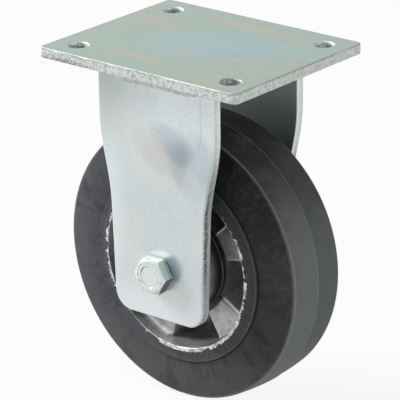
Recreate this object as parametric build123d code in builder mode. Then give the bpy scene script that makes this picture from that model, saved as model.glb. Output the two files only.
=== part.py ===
from build123d import *
import os
from math import degrees, radians, sqrt, tan

os.makedirs("parts", exist_ok=True)

# A fixed castor in millimetres. The origin is the centre of the plate's top face, +Z is up, the
# wheel rolls along X, and the axle lies along Y with the bolt's head on the -Y (front) side.

# Top plate
plate_length = 135.0
plate_width = 110.0
plate_thickness = 6.0
plate_corner_radius = 3.0
plate_top_round = 0.8
plate_bottom_round = 0.5
hole_spacing_long = 105.0
hole_spacing_short = 80.0
hole_diameter = 11.0
hole_rim_round = 1.2

# Fork legs
axle_depth = 120.0
leg_thickness = 6.0
leg_top_width = 80.0
leg_waist_width = 65.2
leg_foot_width = 60.8
leg_shoulder_depth = 34.0
leg_waist_depth = 88.0
leg_shoulder_pull = 22.0
leg_waist_pull = 24.0
leg_foot_below_axle = 27.0
leg_foot_radius = 11.0
leg_outer_round = 1.2
leg_inner_round = 0.5
leg_hole_clearance = 0.25

# Fillet welds between the legs and the plate
weld_length = 50.0
weld_height = 8.5
weld_reach = 6.5
weld_bulge = 0.9

# Bolt, washer and self-locking nut
bolt_diameter = 12.0
bolt_overhang = 7.5
bolt_end_chamfer = 1.2
head_flats = 19.0
head_height = 7.5
head_seat_height = 0.6
head_seat_share = 0.92
head_face_share = 0.94
head_dish_share = 0.66
head_dish_depth = 0.3
corner_bevel_angle = 30.0
washer_diameter = 24.0
washer_thickness = 2.5
washer_clearance = 0.5
washer_edge_round = 0.3
nut_flats = 19.0
nut_turn = 12.0
nut_hex_height = 8.6
nut_height = 12.0
nut_collar_diameter = 17.4
nut_collar_round = 1.4
nut_ring_diameter = 15.6
nut_ring_height = 2.4
nut_lip_thickness = 0.7
nut_lip_opening = 14.0
thread_clearance = 0.02

# Axle tube and distance pieces
tube_diameter = 20.0
tube_clearance = 0.2
spacer_diameter = 26.0
spacer_length = 5.0
spacer_clearance = 0.05
turned_edge = 0.4

# Ball bearings
bearing_diameter = 47.0
bearing_width = 14.0
bearing_inset = 1.0
inner_land_diameter = 28.2
outer_land_diameter = 40.6
ball_diameter = 7.94
ball_count = 8
groove_share = 0.52
ball_play = 0.02
race_round = 0.8
seal_thickness = 0.8
seal_inset = 0.2
seal_grip = 0.7
seal_gap = 0.3
cage_sheet = 0.6
cage_band = 3.0
cage_play = 0.1
seat_clearance = 0.01

# Cast rim
rim_width = 49.8
rim_seat_diameter = 105.0
rim_rebate_depth = 2.1
rim_rebate_width = 2.9
rim_lip_width = 2.6
hub_diameter = 53.5
hub_width = 58.0
hub_shoulder = 3.0
hub_end_chamfer = 1.0
web_width = 34.0
web_thickness = 5.0
web_sectors = 5
closed_sector_angle = 30.5
first_closed_angle = 28.2
rib_thickness = 3.5
casting_draft = 2.0
casting_fillet = 3.5
hub_root_fillet = 1.2
root_overlap = 3.5
root_sink = 0.2
plate_edge_round = 2.5
pocket_floor_round = 2.5
lip_round = 0.5

# Solid rubber tyre
wheel_diameter = 160.0
tread_width = 38.9
crown_drop = 1.4
crown_bulge = 0.25
parting_step = 0.3
shoulder_round = 1.6
ring_width = 5.4
ring_inner_setback = 0.3
ring_outer_setback = 0.9
groove_width = 0.8
groove_depth = 1.3
sidewall_bulge = 0.7
bond_gap = 0.02

# Worked-out places along the axle, as distances from the middle of the wheel
bearing_outer_end = hub_width / 2 - bearing_inset
bearing_inner_end = bearing_outer_end - bearing_width
bearing_middle = bearing_outer_end - bearing_width / 2
leg_inner = bearing_outer_end + spacer_length
leg_outer = leg_inner + leg_thickness
nut_seat = leg_outer + washer_thickness
nut_end = nut_seat + nut_height
bolt_end = nut_end + bolt_overhang

# Worked-out radii of the bearings
pitch_radius = (tube_diameter + bearing_diameter) / 4
ball_radius = ball_diameter / 2
groove_radius = groove_share * ball_diameter
inner_groove_centre = pitch_radius - ball_radius - ball_play + groove_radius
outer_groove_centre = pitch_radius + ball_radius + ball_play - groove_radius
pocket_radius = ball_radius + cage_play

# The axle's own line, and the plane in which turned pieces are drawn: x is the radius, y the axle
axle_line = Axis((0, 0, -axle_depth), (0, 1, 0))
turning_plane = Plane.XY.offset(-axle_depth)

# Two sizes closer than this are taken as the same when edges and corners are picked
same_size = 0.01


def upright_plane(side, distance, height=0.0):
    """A plane across the axle, facing away from the wheel's middle on the side -1 or 1."""
    return Plane(origin=(0, side * distance, height), x_dir=(-side, 0, 0), z_dir=(0, side, 0))


def ring_section(inner_radius, outer_radius, start, end, mode=Mode.ADD):
    """A rectangle for turning, between two radii and two places along the axle."""
    with Locations(((inner_radius + outer_radius) / 2, (start + end) / 2)):
        Rectangle(outer_radius - inner_radius, abs(end - start), mode=mode)


def rims(piece, radius):
    """The circular edges of one radius on a turned piece."""
    return piece.edges().filter_by(GeomType.CIRCLE).filter_by(lambda e: abs(e.radius - radius) < same_size)


def save(piece, name):
    """Labels a piece and writes it to its own file."""
    piece.label = name
    export_step(piece, f"parts/{name}.step")


# Top plate with four punched holes, whose rims are rolled in
with BuildPart() as top_plate:
    with BuildSketch(Plane.XY.offset(-plate_thickness)):
        RectangleRounded(plate_length, plate_width, plate_corner_radius)
        with GridLocations(hole_spacing_long, hole_spacing_short, 2, 2):
            Circle(hole_diameter / 2, mode=Mode.SUBTRACT)
    extrude(amount=plate_thickness)
    upper_face = top_plate.faces().sort_by(Axis.Z)[-1]
    lower_face = top_plate.faces().sort_by(Axis.Z)[0]
    hole_rims = upper_face.inner_wires().edges()
    upper_outline = upper_face.outer_wire().edges()
    lower_outline = lower_face.outer_wire().edges()
    fillet(hole_rims, hole_rim_round)
    fillet(upper_outline, plate_top_round)
    fillet(lower_outline, plate_bottom_round)
save(top_plate.part, "top_plate")


# Fork legs: straight shoulders, an S-shaped waist, a slow taper and a flat foot
foot_height = -axle_depth - leg_foot_below_axle
foot_lean = (leg_waist_width - leg_foot_width) / 2 / (leg_foot_below_axle + axle_depth - leg_waist_depth)
shoulder_start = (leg_top_width / 2, -leg_shoulder_depth)
shoulder_pull = (leg_top_width / 2, -leg_shoulder_depth - leg_shoulder_pull)
waist_end = (leg_waist_width / 2, -leg_waist_depth)
waist_pull = (leg_waist_width / 2 + foot_lean * leg_waist_pull, -leg_waist_depth + leg_waist_pull)

for side, place in ((-1, "front"), (1, "back")):
    with BuildPart() as fork_leg:
        with BuildSketch(upright_plane(side, leg_inner)) as leg_shape:
            with BuildLine():
                Line((0, -plate_thickness), (leg_top_width / 2, -plate_thickness))
                Line((leg_top_width / 2, -plate_thickness), shoulder_start)
                Bezier(shoulder_start, shoulder_pull, waist_pull, waist_end)
                Line(waist_end, (leg_foot_width / 2, foot_height))
                Line((leg_foot_width / 2, foot_height), (0, foot_height))
                mirror(about=Plane.YZ)
            make_face()
            lowest_corners = leg_shape.vertices().group_by(Axis.Y)[0]
            fillet(lowest_corners.filter_by(lambda v: abs(v.X) > same_size), leg_foot_radius)
            with Locations((0, -axle_depth)):
                Circle(bolt_diameter / 2 + leg_hole_clearance, mode=Mode.SUBTRACT)
        extrude(amount=leg_thickness)
        flat_faces = fork_leg.faces().filter_by(Axis.Y).sort_by(Axis.Y)
        outer_face = flat_faces[0] if side < 0 else flat_faces[-1]
        inner_face = flat_faces[-1] if side < 0 else flat_faces[0]
        for face, edge_round in ((outer_face, leg_outer_round), (inner_face, leg_inner_round)):
            outline = face.outer_wire().edges()
            below_plate = outline.filter_by(lambda e: e.center().Z < -plate_thickness - same_size)
            fillet(below_plate, edge_round)
    save(fork_leg.part, f"{place}_fork_leg")


# Weld beads in the corner under the plate, with round ends that die out on the leg
with BuildSketch() as weld_section:
    with BuildLine():
        Line((0, 0), (0, -weld_height))
        ThreePointArc(
            (0, -weld_height),
            (weld_reach / 2 + weld_bulge / sqrt(2), -weld_height / 2 - weld_bulge / sqrt(2)),
            (weld_reach, 0),
        )
        Line((weld_reach, 0), (0, 0))
    make_face()

for side, place in ((-1, "front"), (1, "back")):
    with BuildPart() as weld:
        for end in (-1, 1):
            across = Plane(
                origin=(end * weld_length / 2, side * leg_outer, -plate_thickness),
                x_dir=(0, side, 0),
                z_dir=(side, 0, 0),
            )
            with BuildSketch(across):
                add(weld_section.sketch)
            revolve(axis=Axis(across.origin, (0, 0, -side * end)), revolution_arc=90)
        middle = Plane(
            origin=(0, side * leg_outer, -plate_thickness), x_dir=(0, side, 0), z_dir=(side, 0, 0)
        )
        with BuildSketch(middle):
            add(weld_section.sketch)
        extrude(amount=weld_length / 2, both=True)
    save(weld.part, f"{place}_weld")


# Hexagon bolt: the head bears on a thin round seat, and its corners are bevelled round the face
head_end = leg_outer + head_height
head_corner = head_flats / sqrt(3)
head_face = head_face_share * head_flats / 2
head_bevel = (head_corner - head_face) * tan(radians(corner_bevel_angle))

with BuildPart() as axle_bolt:
    with BuildSketch(upright_plane(-1, leg_outer + head_seat_height, -axle_depth)):
        RegularPolygon(head_flats / 2, 6, major_radius=False)
    extrude(amount=head_height - head_seat_height)
    with BuildSketch(turning_plane):
        with BuildLine():
            Polyline(
                (0, -leg_outer),
                (head_corner, -leg_outer),
                (head_corner, head_bevel - head_end),
                (head_face, -head_end),
                (0, -head_end),
                close=True,
            )
        make_face()
    revolve(axis=axle_line, mode=Mode.INTERSECT)
    with BuildSketch(upright_plane(-1, head_end, -axle_depth)):
        Circle(head_dish_share * head_flats / 2)
    extrude(amount=-head_dish_depth, taper=corner_bevel_angle, mode=Mode.SUBTRACT)
    with BuildSketch(upright_plane(-1, leg_outer, -axle_depth)):
        Circle(head_seat_share * head_flats / 2)
    extrude(amount=head_seat_height)
    with BuildSketch(upright_plane(-1, leg_outer, -axle_depth)):
        Circle(bolt_diameter / 2)
    extrude(amount=-leg_outer - bolt_end)
    chamfer(axle_bolt.edges().sort_by(Axis.Y)[-1], bolt_end_chamfer)
save(axle_bolt.part, "axle_bolt")

with BuildPart() as nut_washer:
    with BuildSketch(upright_plane(1, leg_outer, -axle_depth)):
        Circle(washer_diameter / 2)
        Circle(bolt_diameter / 2 + washer_clearance, mode=Mode.SUBTRACT)
    extrude(amount=washer_thickness)
    fillet(rims(nut_washer, washer_diameter / 2), washer_edge_round)
save(nut_washer.part, "nut_washer")

# Self-locking nut: a hexagon with a rolled collar that traps the locking ring
nut_corner = nut_flats / sqrt(3)
nut_face = head_face_share * nut_flats / 2
nut_bevel = (nut_corner - nut_face) * tan(radians(corner_bevel_angle))
collar_radius = nut_collar_diameter / 2
hex_top = nut_seat + nut_hex_height
collar_bevel = (nut_corner - collar_radius) * tan(radians(corner_bevel_angle))
thread_bore = bolt_diameter / 2 + thread_clearance
ring_top = nut_end - nut_lip_thickness

with BuildPart() as lock_nut:
    with BuildSketch(upright_plane(1, nut_seat, -axle_depth)):
        RegularPolygon(nut_flats / 2, 6, major_radius=False, rotation=nut_turn)
    extrude(amount=nut_height)
    with BuildSketch(turning_plane):
        with BuildLine():
            Polyline(
                (0, nut_seat),
                (nut_face, nut_seat),
                (nut_corner, nut_seat + nut_bevel),
                (nut_corner, hex_top - collar_bevel),
                (collar_radius, hex_top),
                (collar_radius, nut_end - nut_collar_round),
            )
            RadiusArc(
                (collar_radius, nut_end - nut_collar_round),
                (collar_radius - nut_collar_round, nut_end),
                -nut_collar_round,
            )
            Polyline((collar_radius - nut_collar_round, nut_end), (0, nut_end), (0, nut_seat))
        make_face()
    revolve(axis=axle_line, mode=Mode.INTERSECT)
    with BuildSketch(turning_plane):
        ring_section(0, thread_bore, nut_seat, nut_end)
        ring_section(0, nut_ring_diameter / 2 + thread_clearance, ring_top - nut_ring_height, ring_top)
        ring_section(0, nut_lip_opening / 2, ring_top, nut_end)
    revolve(axis=axle_line, mode=Mode.SUBTRACT)
save(lock_nut.part, "lock_nut")

with BuildPart() as lock_nut_ring:
    with BuildSketch(turning_plane):
        ring_section(thread_bore, nut_ring_diameter / 2, ring_top - nut_ring_height, ring_top)
    revolve(axis=axle_line)
save(lock_nut_ring.part, "lock_nut_ring")


# Axle tube clamped between the legs, and the distance pieces that it carries
with BuildPart() as axle_tube:
    with BuildSketch(turning_plane):
        ring_section(bolt_diameter / 2 + tube_clearance, tube_diameter / 2, -leg_inner, leg_inner)
    revolve(axis=axle_line)
    chamfer(rims(axle_tube, tube_diameter / 2), turned_edge)
save(axle_tube.part, "axle_tube")

spacer_bore = tube_diameter / 2 + spacer_clearance
for name, start, end in (
    ("front_spacer", -leg_inner, -bearing_outer_end),
    ("back_spacer", bearing_outer_end, leg_inner),
    ("bearing_spacer", -bearing_inner_end, bearing_inner_end),
):
    with BuildPart() as spacer:
        with BuildSketch(turning_plane):
            ring_section(spacer_bore, spacer_diameter / 2, start, end)
        revolve(axis=axle_line)
        chamfer(rims(spacer, spacer_diameter / 2), turned_edge)
    save(spacer.part, name)


# Deep-groove ball bearings: two rings, eight balls in a riveted sheet cage, and two seals
seal_outer_face = bearing_width / 2 - seal_inset
seal_inner_face = seal_outer_face - seal_thickness
seal_edge = outer_land_diameter / 2 + seal_grip

for side, place in ((-1, "front"), (1, "back")):
    centre = side * bearing_middle
    start = centre - bearing_width / 2
    end = centre + bearing_width / 2

    with BuildPart() as inner_ring:
        with BuildSketch(turning_plane):
            ring_section(tube_diameter / 2 + seat_clearance, inner_land_diameter / 2, start, end)
            with Locations((inner_groove_centre, centre)):
                Circle(groove_radius, mode=Mode.SUBTRACT)
        revolve(axis=axle_line)
        fillet(rims(inner_ring, tube_diameter / 2 + seat_clearance), race_round)
    save(inner_ring.part, f"{place}_bearing_inner_ring")

    with BuildPart() as outer_ring:
        with BuildSketch(turning_plane):
            ring_section(outer_land_diameter / 2, bearing_diameter / 2, start, end)
            with Locations((outer_groove_centre, centre)):
                Circle(groove_radius, mode=Mode.SUBTRACT)
            for outward in (-1, 1):
                ring_section(
                    outer_land_diameter / 2,
                    seal_edge,
                    centre + outward * seal_inner_face,
                    centre + outward * bearing_width / 2,
                    mode=Mode.SUBTRACT,
                )
        revolve(axis=axle_line)
        fillet(rims(outer_ring, bearing_diameter / 2), race_round)
    save(outer_ring.part, f"{place}_bearing_outer_ring")

    for facing, outward in (("outboard", side), ("inboard", -side)):
        with BuildPart() as seal:
            with BuildSketch(turning_plane):
                ring_section(
                    inner_land_diameter / 2 + seal_gap,
                    seal_edge - seat_clearance,
                    centre + outward * seal_inner_face,
                    centre + outward * seal_outer_face,
                )
            revolve(axis=axle_line)
        save(seal.part, f"{place}_bearing_{facing}_seal")

    across_bearing = Plane(origin=(0, centre, -axle_depth), x_dir=(1, 0, 0), z_dir=(0, -1, 0))

    with BuildPart() as balls:
        with Locations(across_bearing):
            with PolarLocations(pitch_radius, ball_count):
                Sphere(ball_radius)
    save(balls.part, f"{place}_bearing_balls")

    with BuildPart() as cage:
        with BuildSketch(across_bearing):
            Circle(pitch_radius + cage_band)
            Circle(pitch_radius - cage_band, mode=Mode.SUBTRACT)
        extrude(amount=cage_sheet, both=True)
        with Locations(across_bearing):
            with PolarLocations(pitch_radius, ball_count):
                Sphere(pocket_radius + cage_sheet, rotation=(0, 90, 0))
        with BuildSketch(across_bearing):
            Circle(pitch_radius + cage_band / 2)
            Circle(pitch_radius - cage_band / 2, mode=Mode.SUBTRACT)
        extrude(amount=bearing_width / 2, both=True, mode=Mode.INTERSECT)
        with Locations(across_bearing):
            with PolarLocations(pitch_radius, ball_count):
                Sphere(pocket_radius, rotation=(0, 90, 0), mode=Mode.SUBTRACT)
    save(cage.part, f"{place}_bearing_cage")


# Cast rim. Its web zigzags: five sectors are closed at the front and open at the back, and the
# five between them are deep pockets from the front, closed at the back.
draft_slope = tan(radians(casting_draft))
rim_end = rim_width / 2
hub_end = hub_width / 2
web_end = web_width / 2
seat_radius = rim_seat_diameter / 2
lip_radius = seat_radius - rim_rebate_depth
opening_radius = lip_radius - rim_lip_width
hub_radius = hub_diameter / 2
bearing_seat = bearing_diameter / 2 + seat_clearance
shoulder_bore = bearing_diameter / 2 - hub_shoulder
hub_root = hub_radius + (hub_end - web_end) * draft_slope
opening_root = opening_radius - (rim_end - web_end) * draft_slope
rebate_end = rim_end - rim_rebate_width

sector_pitch = 360.0 / web_sectors
open_angle = sector_pitch - closed_sector_angle
rib_angle = degrees(rib_thickness / ((hub_radius + opening_radius) / 2))
back_pocket_angle = closed_sector_angle - 2 * rib_angle
root_height = web_end + casting_fillet
hub_ledge = web_end - root_sink
barrel_side = opening_root + root_sink
pocket_floor = web_end - web_thickness


def wedge_sketch(angle):
    """A wedge seen along the axle, with its point on the axle, centred on the local x direction."""
    reach = rim_seat_diameter
    half_width = reach * tan(radians(angle / 2))
    with BuildSketch() as wedge:
        with BuildLine():
            Polyline((0, 0), (reach, -half_width), (reach, half_width), close=True)
        make_face()
    return wedge.sketch


front_wedge = wedge_sketch(open_angle)
back_wedge = wedge_sketch(back_pocket_angle)

with BuildPart() as rim_web:
    with BuildSketch(turning_plane):
        with BuildLine():
            Polyline(
                (barrel_side - casting_fillet, web_end),
                (hub_root - root_overlap, web_end),
                (hub_root - root_overlap, 0),
                (barrel_side + root_overlap, 0),
                (barrel_side + root_overlap, root_height),
                (barrel_side, root_height),
            )
            RadiusArc((barrel_side, root_height), (barrel_side - casting_fillet, web_end), casting_fillet)
        make_face()
        mirror(about=Plane.XZ)
    revolve(axis=axle_line)
    for side, wedge, first_angle in (
        (-1, front_wedge, first_closed_angle + sector_pitch / 2),
        (1, back_wedge, first_closed_angle),
    ):
        across_rim = Plane(
            origin=(0, side * root_height, -axle_depth), x_dir=(1, 0, 0), z_dir=(0, -1, 0)
        )
        with BuildSketch(across_rim):
            with PolarLocations(0, web_sectors, start_angle=first_angle):
                add(wedge)
        extrude(amount=side * (root_height + pocket_floor), taper=casting_draft, mode=Mode.SUBTRACT)
    floor_edges = rim_web.edges().filter_by(lambda e: abs(abs(e.center().Y) - pocket_floor) < same_size)
    fillet(floor_edges.filter_by(GeomType.LINE), pocket_floor_round)
    border_edges = rim_web.edges().filter_by(lambda e: abs(abs(e.center().Y) - web_end) < same_size)
    fillet(border_edges.filter_by(GeomType.CIRCLE, reverse=True), plate_edge_round)

with BuildPart() as wheel_rim:
    with BuildSketch(turning_plane) as hub_section:
        with BuildLine():
            Polyline(
                (hub_root + hub_root_fillet, hub_ledge),
                (hub_root + hub_root_fillet, 0),
                (shoulder_bore, 0),
                (shoulder_bore, bearing_inner_end),
                (bearing_seat, bearing_inner_end),
                (bearing_seat, hub_end),
                (hub_radius, hub_end),
                (hub_root, hub_ledge + hub_root_fillet),
            )
            RadiusArc(
                (hub_root, hub_ledge + hub_root_fillet),
                (hub_root + hub_root_fillet, hub_ledge),
                -hub_root_fillet,
            )
        make_face()
        chamfer(hub_section.vertices().filter_by_position(Axis.Y, hub_end, hub_end), hub_end_chamfer)
        mirror(about=Plane.XZ)
    revolve(axis=axle_line)
    with BuildSketch(turning_plane) as barrel_section:
        with BuildLine():
            Polyline(
                (opening_root, 0),
                (opening_root, web_end),
                (opening_radius, rim_end),
                (lip_radius, rim_end),
                (lip_radius, rebate_end),
                (seat_radius, rebate_end),
                (seat_radius, 0),
                close=True,
            )
        make_face()
        fillet(barrel_section.vertices().filter_by_position(Axis.Y, rim_end, rim_end), lip_round)
        mirror(about=Plane.XZ)
    revolve(axis=axle_line)
    add(rim_web.part)
save(wheel_rim.part, "wheel_rim")


# Solid tyre: a flat ring round the rim's lip, a groove, a bulging sidewall and two crowned bands
# of tread that meet in a small step at the mould's parting line
tread_radius = wheel_diameter / 2
shoulder_radius = tread_radius - crown_drop
tread_end = tread_width / 2
tyre_lip_radius = lip_radius + bond_gap
tyre_seat_radius = seat_radius + bond_gap
rebate_face = rebate_end + bond_gap
ring_radius = lip_radius + ring_width
ring_inner_face = rim_end - ring_inner_setback
ring_outer_face = rim_end - ring_outer_setback
groove_wall_radius = ring_radius + groove_width
groove_face = ring_outer_face - groove_depth
sidewall_middle = (groove_wall_radius + shoulder_radius) / 2
sidewall_face = (groove_face + tread_end) / 2 + sidewall_bulge

with BuildPart() as tyre:
    with BuildSketch(turning_plane) as tyre_section:
        with BuildLine():
            for side, centre_radius in ((-1, tread_radius), (1, tread_radius - parting_step)):
                Polyline(
                    (tyre_seat_radius, 0),
                    (tyre_seat_radius, side * rebate_face),
                    (tyre_lip_radius, side * rebate_face),
                    (tyre_lip_radius, side * ring_inner_face),
                    (ring_radius, side * ring_outer_face),
                    (groove_wall_radius, side * groove_face),
                )
                ThreePointArc(
                    (groove_wall_radius, side * groove_face),
                    (sidewall_middle, side * sidewall_face),
                    (shoulder_radius, side * tread_end),
                )
                ThreePointArc(
                    (shoulder_radius, side * tread_end),
                    ((shoulder_radius + centre_radius) / 2 + crown_bulge, side * tread_end / 2),
                    (centre_radius, 0),
                )
            Line((tread_radius - parting_step, 0), (tread_radius, 0))
        make_face()
        shoulders = tyre_section.vertices().filter_by(
            lambda v: abs(v.X - shoulder_radius) < same_size and abs(abs(v.Y) - tread_end) < same_size
        )
        fillet(shoulders, shoulder_round)
    revolve(axis=axle_line)
save(tyre.part, "tyre")
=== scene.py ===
import bpy
import bmesh
import math
from mathutils import Matrix, Vector, noise


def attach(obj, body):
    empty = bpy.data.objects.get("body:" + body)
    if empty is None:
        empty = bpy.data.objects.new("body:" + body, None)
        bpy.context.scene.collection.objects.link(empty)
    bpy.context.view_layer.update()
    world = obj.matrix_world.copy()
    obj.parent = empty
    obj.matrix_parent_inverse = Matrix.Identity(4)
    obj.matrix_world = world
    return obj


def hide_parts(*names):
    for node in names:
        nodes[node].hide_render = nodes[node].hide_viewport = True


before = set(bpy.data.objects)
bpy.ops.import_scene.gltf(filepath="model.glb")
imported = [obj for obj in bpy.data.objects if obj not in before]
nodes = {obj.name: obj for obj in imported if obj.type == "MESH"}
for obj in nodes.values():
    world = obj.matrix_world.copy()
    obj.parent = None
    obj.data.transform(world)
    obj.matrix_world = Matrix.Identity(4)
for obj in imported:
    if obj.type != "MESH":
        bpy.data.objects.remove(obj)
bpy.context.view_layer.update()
print("frame loaded with", len(nodes), "nodes")

# Lengths are in mm; they become metres where a mesh is made. Heights start at the plate's top.
mm = 0.001
axleHeight = -120.0
plateUnder = -6.0
legFace = 39.0
turnScale = 40  # one radian round the axle counts as this length in the clouds that turn


def tone(red, green, blue):  # a screen colour from 0 to 255, as a linear colour
    linear = [((part / 255 + 0.055) / 1.055) ** 2.4 for part in (red, green, blue)]
    return (*linear, 1.0)


class Value:  # wraps one socket, so that shader maths reads as plain expressions
    def __init__(self, finish, socket):
        self.finish = finish
        self.socket = socket

    def calc(self, operation, *terms):
        return self.finish.node("ShaderNodeMath", {"operation": operation}, dict(enumerate(terms)))

    def __add__(self, other):
        return self.calc("ADD", self, other)

    def __radd__(self, other):
        return self.calc("ADD", other, self)

    def __sub__(self, other):
        return self.calc("SUBTRACT", self, other)

    def __rsub__(self, other):
        return self.calc("SUBTRACT", other, self)

    def __mul__(self, other):
        return self.calc("MULTIPLY", self, other)

    def __rmul__(self, other):
        return self.calc("MULTIPLY", other, self)

    def __truediv__(self, other):
        return self.calc("DIVIDE", self, other)

    def __pow__(self, other):
        return self.calc("POWER", self, other)

    def __abs__(self):
        return self.calc("ABSOLUTE", self)

    def larger(self, other):
        return self.calc("MAXIMUM", self, other)

    def sway(self, reach):  # turns a cloud from 0 to 1 into a push to either side
        return (self - 0.5) * reach

    def between(self, start, end, share=1.0):  # 0 at start, the share at end, and soft between
        return self.finish.node(
            "ShaderNodeMapRange", {"interpolation_type": "SMOOTHSTEP"},
            {"Value": self, "From Min": start, "From Max": end, "To Max": share})

    def near(self, middle, reach, share=1.0):  # the share at the middle, fading to 0 at the reach
        return abs(self - middle).between(reach, 0, share)


class Finish:  # the nodes of one material, or of the sky
    def __init__(self, name, owner=None):
        self.owner = owner or bpy.data.materials.new(name)
        self.owner.use_nodes = True
        self.tree = self.owner.node_tree
        self.tree.nodes.clear()
        if owner:
            return
        spot, facing = self.node("ShaderNodeTexCoord", out=("Object", "Normal"))
        self.place = self.node("ShaderNodeVectorMath", {"operation": "SCALE"},
                               {0: spot, "Scale": 1 / mm})
        self.x, self.y, self.z = self.split(self.place)
        self.faceX, self.faceY, self.faceZ = self.split(facing)

    def node(self, kind, settings=None, inputs=None, out=0):
        made = self.tree.nodes.new(kind)
        for name, value in (settings or {}).items():
            setattr(made, name, value)
        for name, value in (inputs or {}).items():
            if isinstance(value, Value):
                self.tree.links.new(value.socket, made.inputs[name])
            else:
                made.inputs[name].default_value = value
        if out is None:
            return None
        if isinstance(out, tuple):
            return [Value(self, made.outputs[name]) for name in out]
        return Value(self, made.outputs[out])

    def split(self, vector):
        return self.node("ShaderNodeSeparateXYZ", None, {"Vector": vector}, out=("X", "Y", "Z"))

    def roundAxle(self):  # the distance from the axle, the angle round it, and a place that turns
        up = self.z - axleHeight
        self.radius = (self.x * self.x + up * up) ** 0.5
        self.angle = self.x.calc("ARCTAN2", up, self.x)
        self.turned = self.node("ShaderNodeCombineXYZ", None,
                                {"X": self.radius, "Y": self.angle * turnScale, "Z": self.y})

    def ring(self, outer, inner):  # 1 from one radius to another, with soft borders
        return self.radius.between(*outer) * self.radius.between(*inner)

    def moved(self, place, shift, stretch=(1, 1, 1)):
        return self.node("ShaderNodeMapping", None, {
            "Vector": place, "Location": (shift, shift, shift),
            "Scale": [1 / part for part in stretch]})

    def cloud(self, size, detail=3.0, rough=0.5, stretch=(1, 1, 1), shift=0.0, turning=False):
        place = self.moved(self.turned if turning else self.place, shift, stretch)
        return self.node("ShaderNodeTexNoise", None,
                         {"Vector": place, "Scale": 1 / size, "Detail": detail, "Roughness": rough})

    def clouds(self, look, *names):
        return [self.cloud(**look[name]) for name in names]

    def cells(self, size, shift=0.0):
        return self.node("ShaderNodeTexVoronoi", None,
                         {"Vector": self.moved(self.place, shift), "Scale": 1 / size})

    def patch(self, across, up, middle, size, lean=0.0, share=1.0):
        across, up = across - middle[0], up - middle[1]
        cosine, sine = math.cos(math.radians(lean)), math.sin(math.radians(lean))
        along = (across * cosine + up * sine) / size[0]
        aside = (up * cosine - across * sine) / size[1]
        return (along * along + aside * aside).between(1, 0, share)

    def blend(self, factor, first, second):
        return self.node("ShaderNodeMix", {"data_type": "RGBA"},
                         {0: factor, 6: first, 7: second}, out=2)

    def layers(self, colour, *coats):  # lays coats, each a mask and a tone, one over the other
        for mask, shade in coats:
            colour = self.blend(mask, colour, shade)
        return colour

    def seen(self):  # 1 where the camera, a reflection or a view through glass looks at it
        rays = ("Is Camera Ray", "Is Glossy Ray", "Is Transmission Ray")
        camera, glossy, through = self.node("ShaderNodeLightPath", out=rays)
        return camera.larger(glossy).larger(through)

    def surface(self, colour, rough, metal, height, **constants):  # the height is in mm
        bump = self.node("ShaderNodeBump", None, {"Distance": mm, "Height": height})
        shader = self.node("ShaderNodeBsdfPrincipled", None, {
            "Base Color": colour, "Roughness": rough, "Metallic": metal, "Normal": bump,
            **constants})
        self.output(shader)
        return self.owner

    def output(self, shader, kind="ShaderNodeOutputMaterial"):
        self.node(kind, None, {"Surface": shader}, out=None)


def setMaterial(mesh, material):
    mesh.materials.clear()
    mesh.materials.append(material)


def dress(material, *names):
    for name in names:
        setMaterial(nodes[name].data, material)


def link(name, data):
    made = bpy.data.objects.new(name, data)
    bpy.context.scene.collection.objects.link(made)
    return made


def addPiece(name, mesh, material, body, slot, sharp, *replaced):  # sharp is in degrees
    setMaterial(mesh, material)
    mesh.shade_smooth()
    mesh.set_sharp_from_angle(angle=math.radians(sharp))
    piece = link(name, mesh)
    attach(piece, body)
    if replaced:
        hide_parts(*replaced)


def solidMesh(name, corners, faces):
    mesh = bpy.data.meshes.new(name)
    mesh.from_pydata([[part * mm for part in corner] for corner in corners], [], faces)
    work = bmesh.new()
    work.from_mesh(mesh)
    bmesh.ops.recalc_face_normals(work, faces=work.faces)
    work.to_mesh(mesh)
    work.free()
    return mesh


def loopFaces(rings, count, closed):  # quads between rings of corners that follow each other
    faces = []
    for ring in range(rings if closed else rings - 1):
        this, following = ring * count, (ring + 1) % rings * count
        for step in range(count):
            ahead = (step + 1) % count
            faces.append((this + step, this + ahead, following + ahead, following + step))
    return faces


# In the looks below, a name that ends in Run is a mask's start and end, one that ends in Line is
# its middle and reach, and a third number there is the mask's share. A patch is its middle, its
# half sizes, its lean in degrees and its share. A cloud is the settings of one noise.

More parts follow.
